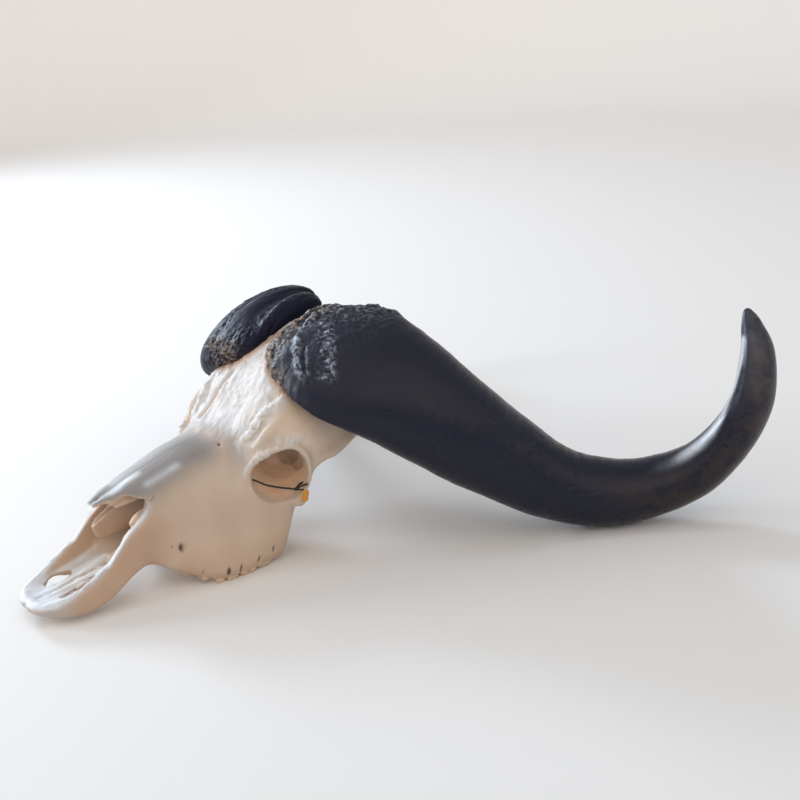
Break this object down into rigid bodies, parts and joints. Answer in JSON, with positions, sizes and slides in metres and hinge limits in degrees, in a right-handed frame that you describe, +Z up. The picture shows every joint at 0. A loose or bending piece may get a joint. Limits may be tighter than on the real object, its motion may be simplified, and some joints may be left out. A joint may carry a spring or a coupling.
{
  "type": "buffalo skull",
  "caption": "Dry Cape buffalo skull without its lower jaw, with both sweeping dark horns and their bosses, resting on its cheek teeth and on the low bends of the horns.",
  "frame": {"origin": "on the surface that the skull rests on, under the middle of its box", "axes": "+X is the animal's left, -Y is the way the snout points, +Z is up as the skull rests"},
  "size_m": [0.9472, 0.9167, 0.3186],
  "materials": {
    "bone": "dry weathered bone, warm beige with bleached ridges and darker hollows, rough and finely streaked",
    "horn": "near black keratin with a blue grey sheen, smooth and satin along the sweep, rugged on the boss",
    "tooth": "stained ivory enamel with brown cement, satin",
    "strap": "thin black tie, slightly shiny",
    "tag": "plain amber plate, satin, nothing written on it"
  },
  "bodies": {
    "root": {"cranium": "bone", "left_horn": "horn", "right_horn": "horn", "left_premolar_2": "tooth", "left_premolar_3": "tooth", "left_premolar_4": "tooth", "left_molar_1": "tooth", "left_molar_2": "tooth", "left_molar_3": "tooth", "right_premolar_2": "tooth", "right_premolar_3": "tooth", "right_premolar_4": "tooth", "right_molar_1": "tooth", "right_molar_2": "tooth", "right_molar_3": "tooth", "orbit_strap": "strap", "tag": "tag"}
  },
  "joints": []
}
